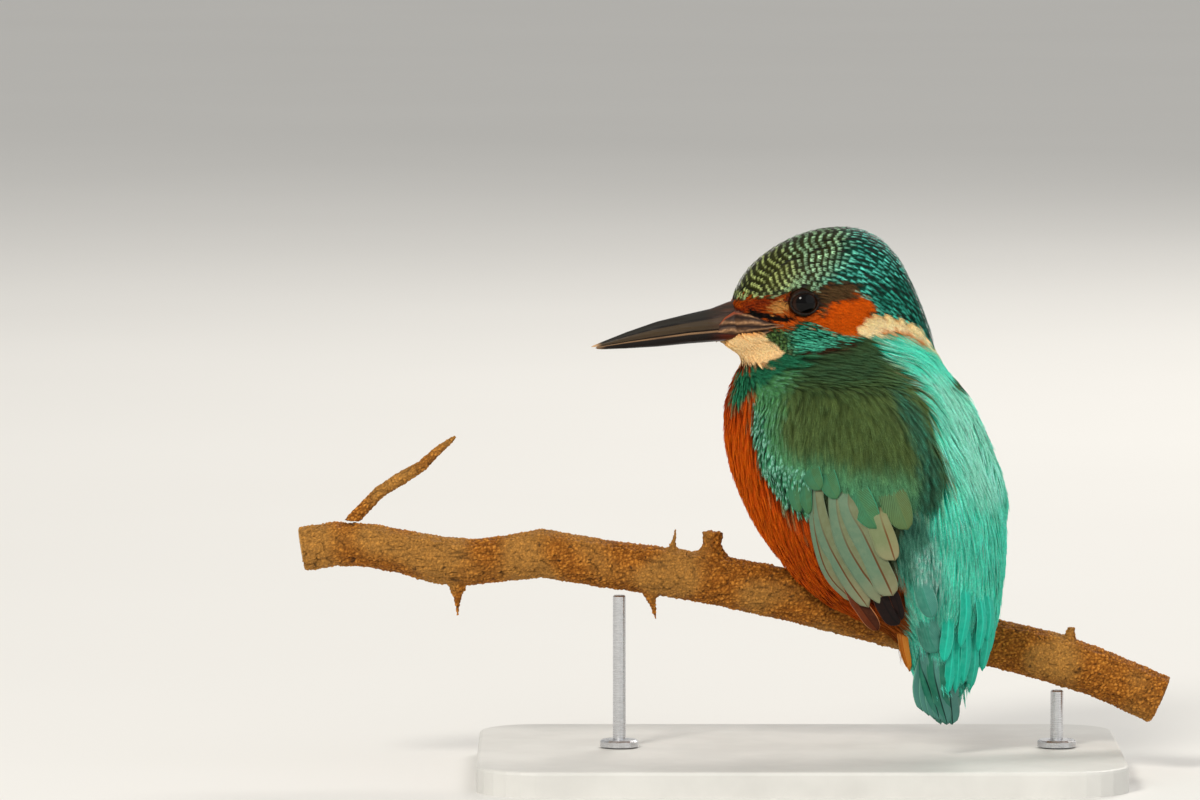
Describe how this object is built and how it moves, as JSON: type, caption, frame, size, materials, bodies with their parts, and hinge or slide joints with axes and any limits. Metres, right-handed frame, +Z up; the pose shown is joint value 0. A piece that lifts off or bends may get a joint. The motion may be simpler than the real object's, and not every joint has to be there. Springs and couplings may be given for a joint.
{
  "type": "common kingfisher",
  "caption": "Life-size common kingfisher looking over its left side, perched on a cut thorny branch that a plain flat stand holds up on short rods.",
  "frame": {"origin": "middle of the stand's underside, which rests on the floor", "axes": "+Z up, +X along the branch towards the bird's tail side, +Y away from the side the bird shows; the bill points along -X"},
  "size_m": [0.2032, 0.1, 0.1278],
  "materials": {
    "plumage_green": "dark green crown, cheeks and wing coverts with pale turquoise tips",
    "plumage_turquoise": "bright turquoise back, rump and uppertail coverts",
    "plumage_orange": "warm orange breast, belly and undertail coverts, soft and matt",
    "flight_feathers": "grey-teal and dark brown vanes with fine shafts",
    "tail_feathers": "dull teal blue with dark shafts",
    "bill": "black horn with a soft sheen and a pale tip",
    "eye": "very dark brown, wet gloss",
    "feet": "coral red scaly skin",
    "claws": "dark horn",
    "bark": "rough ochre bark with sawn ends",
    "stand_paint": "matt pale grey paint",
    "stand_steel": "satin"
  },
  "bodies": {
    "root": {"head": "plumage_green", "neck": "plumage_green", "trunk": "plumage_orange", "tail_coverts_upper": "plumage_turquoise", "tail_coverts_under": "plumage_orange", "tail": "tail_feathers", "wing_left_coverts": "plumage_green", "wing_right_coverts": "plumage_green", "wing_left_secondaries": "flight_feathers", "wing_right_secondaries": "flight_feathers", "wing_left_primaries": "flight_feathers", "wing_right_primaries": "flight_feathers", "bill_upper": "bill", "bill_lower": "bill", "eye_left": "eye", "eye_right": "eye", "leg_left": "feet", "leg_right": "feet", "foot_left": "feet", "foot_right": "feet", "claw_left_inner": "claws", "claw_left_middle": "claws", "claw_left_outer": "claws", "claw_left_hind": "claws", "claw_right_inner": "claws", "claw_right_middle": "claws", "claw_right_outer": "claws", "claw_right_hind": "claws", "perch_branch": "bark", "perch_twig": "bark", "stand_base": "stand_paint", "stand_rod_left": "stand_steel", "stand_rod_right": "stand_steel"}
  },
  "joints": []
}
